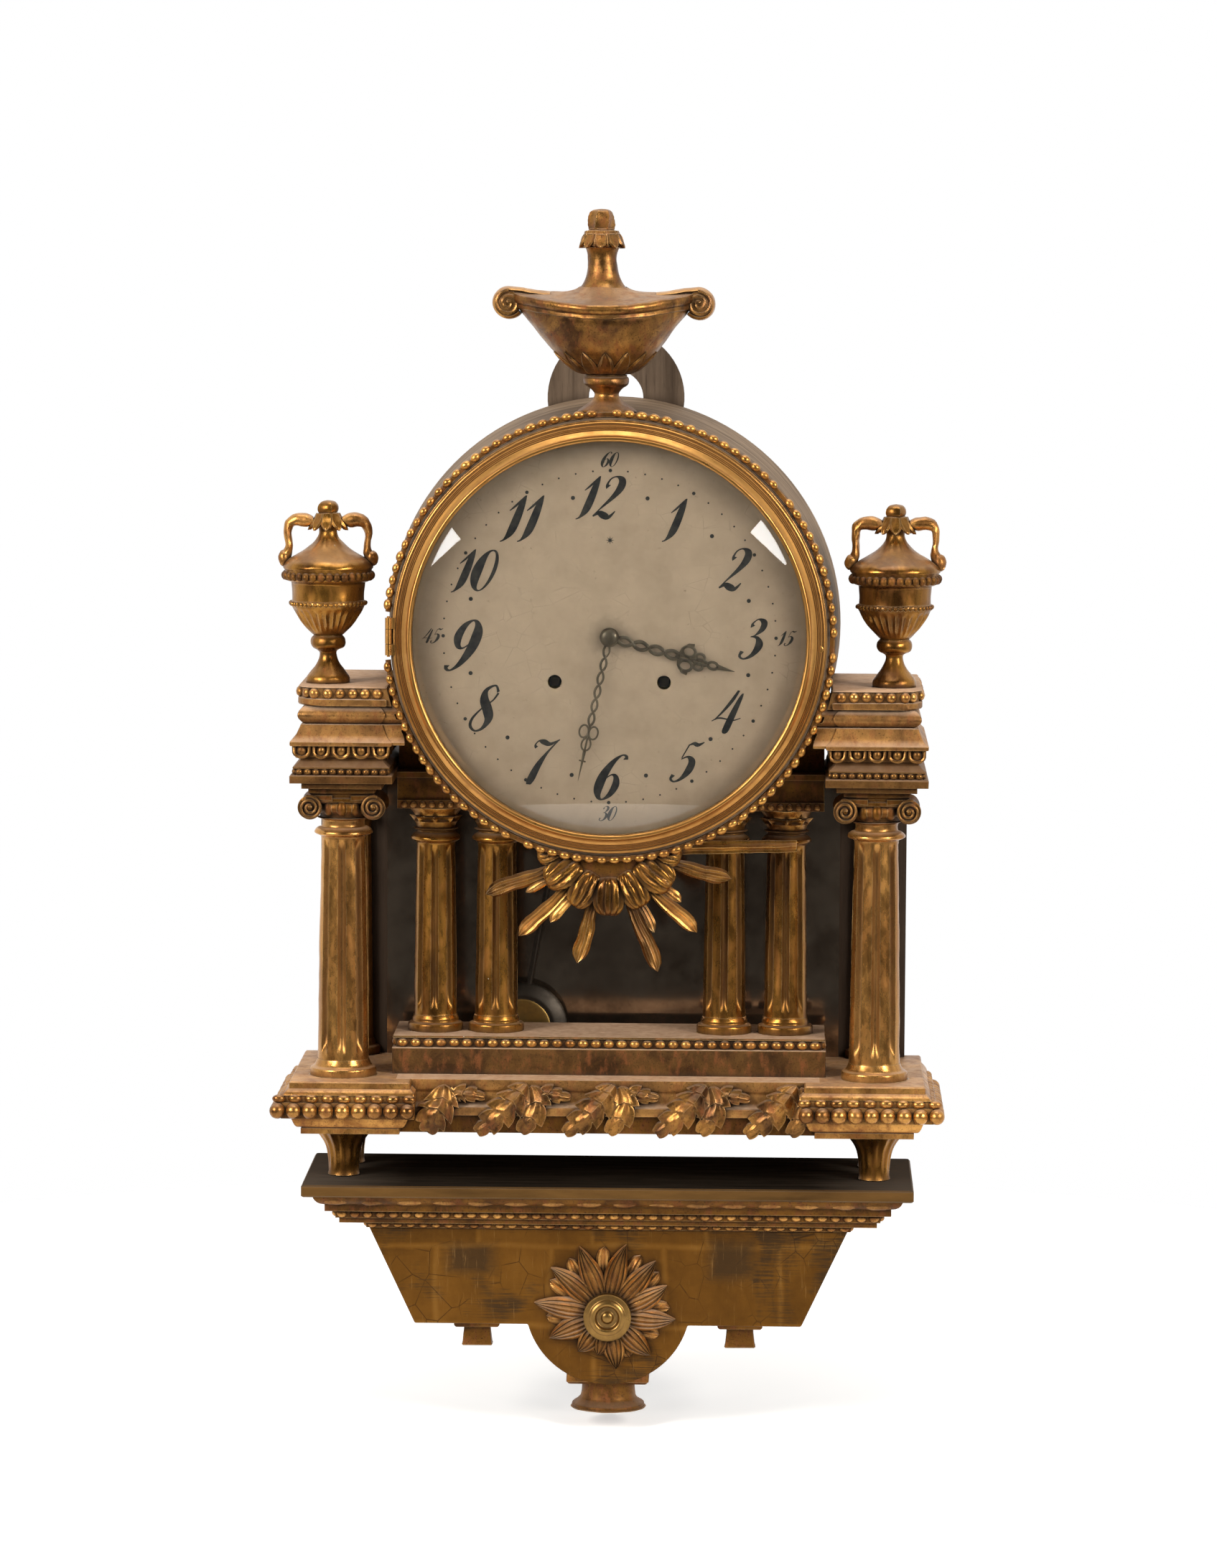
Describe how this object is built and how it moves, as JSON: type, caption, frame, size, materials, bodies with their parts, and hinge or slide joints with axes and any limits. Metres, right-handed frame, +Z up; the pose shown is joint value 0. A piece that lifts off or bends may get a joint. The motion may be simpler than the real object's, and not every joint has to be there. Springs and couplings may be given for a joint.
{
  "type": "cartel clock",
  "caption": "Gilt wood wall clock: a round drum with a hinged glass bezel over a colonnade with a mirror and a pendulum, standing on its own stepped wall bracket.",
  "frame": {"origin": "centre of the wall face of the bracket's back board", "axes": "+X to the viewer's right, +Y into the wall, +Z up; the dial looks along -Y"},
  "size_m": [0.434, 0.155, 0.7859],
  "materials": {
    "gilt_wood": "aged gilding over brown bole",
    "gilt_panel": "worn gilding with dark patches",
    "dark_wood": "dark stained wood",
    "bare_wood": "grey-brown bare wood",
    "boss_brass": "burnished gilding",
    "bezel_gilt": "satin gilt brass",
    "clear_glass": "clear blown glass",
    "old_mirror": "dark aged mirror",
    "dial_paint": "matt beige paint",
    "hand_bronze": "dark patinated brass",
    "movement_brass": "satin brass",
    "movement_steel": "polished steel",
    "bell_metal": "cast bell metal",
    "bob_brass": "dull brass"
  },
  "bodies": {
    "case": {"bracket_cornice": "gilt_wood", "bracket_rosette": "gilt_wood", "bracket_drops": "gilt_wood", "bracket_end_drop": "gilt_wood", "feet": "gilt_wood", "base_plinth": "gilt_wood", "plinth_pearls": "gilt_wood", "plinth_leaves": "gilt_wood", "inner_plinth": "gilt_wood", "front_columns": "gilt_wood", "ionic_capitals": "gilt_wood", "rear_half_columns": "gilt_wood", "inner_columns": "gilt_wood", "entablature_blocks": "gilt_wood", "entablature_beam": "gilt_wood", "side_urns": "gilt_wood", "urn_handles": "gilt_wood", "lamp_finial": "gilt_wood", "finial_scrolls": "gilt_wood", "bead_ring": "gilt_wood", "garland": "gilt_wood", "sun_rays": "gilt_wood", "bracket_front_panel": "gilt_panel", "bracket_box_boards": "gilt_panel", "bracket_shelf": "dark_wood", "seat_board": "dark_wood", "bracket_back_board": "bare_wood", "backboard": "bare_wood", "drum_shell": "bare_wood", "drum_front_ring": "bare_wood", "rosette_boss": "boss_brass", "bezel_hinge": "bezel_gilt", "mirror_glass": "old_mirror", "dial_plate": "dial_paint", "front_plate": "movement_brass", "back_plate": "movement_brass", "plate_pillars": "movement_brass", "back_cock": "movement_brass", "bell_stand": "movement_steel", "bell": "bell_metal"},
    "bezel": {"bezel_ring": "bezel_gilt", "bezel_glass": "clear_glass"},
    "minute_work": {"cannon_pinion": "movement_steel", "minute_hand": "hand_bronze", "hand_nut": "hand_bronze"},
    "minute_wheel": {"minute_wheel": "movement_brass"},
    "hour_work": {"hour_wheel": "movement_brass", "hour_hand": "hand_bronze"},
    "centre_arbor": {"centre_arbor": "movement_brass"},
    "third_wheel": {"third_wheel": "movement_brass"},
    "escape_wheel": {"escape_wheel": "movement_brass"},
    "going_barrel": {"going_barrel": "movement_brass"},
    "strike_barrel": {"strike_barrel": "movement_brass"},
    "pin_wheel": {"pin_wheel": "movement_brass"},
    "going_winding_arbor": {"going_winding_arbor": "movement_steel"},
    "strike_winding_arbor": {"strike_winding_arbor": "movement_steel"},
    "anchor": {"anchor": "movement_steel"},
    "pendulum": {"pendulum_rod": "movement_steel", "pendulum_bob": "bob_brass"},
    "hammer": {"hammer": "movement_steel"}
  },
  "joints": [
    {"name": "bezel_door", "type": "hinge", "parent": "case", "child": "bezel", "pos_m": [-0.1412, -0.139, 0.409], "axis": [0, 0, -1], "range_deg": [0, 110]},
    {"name": "pendulum_swing", "type": "hinge", "parent": "case", "child": "pendulum", "pos_m": [0, -0.022, 0.479], "axis": [0, -1, 0], "range_deg": [-0.95, 21.05]},
    {"name": "anchor_rock", "type": "hinge", "parent": "case", "child": "anchor", "pos_m": [0, -0.066, 0.479], "axis": [0, -1, 0], "range_deg": [-1, 21.1]},
    {"name": "minute_turn", "type": "hinge", "parent": "case", "child": "minute_work", "pos_m": [0, -0.086, 0.409], "axis": [0, 1, 0], "continuous": true},
    {"name": "minute_wheel_turn", "type": "hinge", "parent": "case", "child": "minute_wheel", "pos_m": [0, -0.086, 0.3898], "axis": [0, 1, 0], "continuous": true},
    {"name": "hour_turn", "type": "hinge", "parent": "case", "child": "hour_work", "pos_m": [0, -0.086, 0.409], "axis": [0, 1, 0], "continuous": true},
    {"name": "third_turn", "type": "hinge", "parent": "case", "child": "third_wheel", "pos_m": [-0.024, -0.086, 0.436], "axis": [0, 1, 0], "continuous": true},
    {"name": "centre_turn", "type": "hinge", "parent": "case", "child": "centre_arbor", "pos_m": [0, -0.086, 0.409], "axis": [0, 1, 0], "continuous": true},
    {"name": "escape_turn", "type": "hinge", "parent": "case", "child": "escape_wheel", "pos_m": [0, -0.086, 0.455], "axis": [0, 1, 0], "continuous": true},
    {"name": "going_barrel_turn", "type": "hinge", "parent": "case", "child": "going_barrel", "pos_m": [0.035, -0.086, 0.38], "axis": [0, 1, 0], "continuous": true},
    {"name": "strike_barrel_turn", "type": "hinge", "parent": "case", "child": "strike_barrel", "pos_m": [-0.035, -0.086, 0.38], "axis": [0, 1, 0], "continuous": true},
    {"name": "pin_wheel_turn", "type": "hinge", "parent": "case", "child": "pin_wheel", "pos_m": [-0.048, -0.086, 0.4155], "axis": [0, 1, 0], "continuous": true},
    {"name": "going_winding", "type": "hinge", "parent": "case", "child": "going_winding_arbor", "pos_m": [0.035, -0.086, 0.38], "axis": [0, 1, 0], "continuous": true},
    {"name": "strike_winding", "type": "hinge", "parent": "case", "child": "strike_winding_arbor", "pos_m": [-0.035, -0.086, 0.38], "axis": [0, 1, 0], "continuous": true},
    {"name": "hammer_lift", "type": "hinge", "parent": "case", "child": "hammer", "pos_m": [-0.02, -0.085, 0.482], "axis": [0, -1, 0], "range_deg": [0, 12], "stiffness_Nm_per_rad": 0.02, "springref_deg": -11.46}
  ],
  "couplings": [
    {"joint": "anchor_rock", "follows": "pendulum_swing", "ratio": 1},
    {"joint": "minute_wheel_turn", "follows": "minute_turn", "ratio": -0.33333},
    {"joint": "hour_turn", "follows": "minute_turn", "ratio": 0.083333},
    {"joint": "centre_turn", "follows": "third_turn", "ratio": -0.125},
    {"joint": "escape_turn", "follows": "third_turn", "ratio": -7.5},
    {"joint": "going_barrel_turn", "follows": "third_turn", "ratio": 0.01875},
    {"joint": "pin_wheel_turn", "follows": "strike_barrel_turn", "ratio": -9}
  ]
}
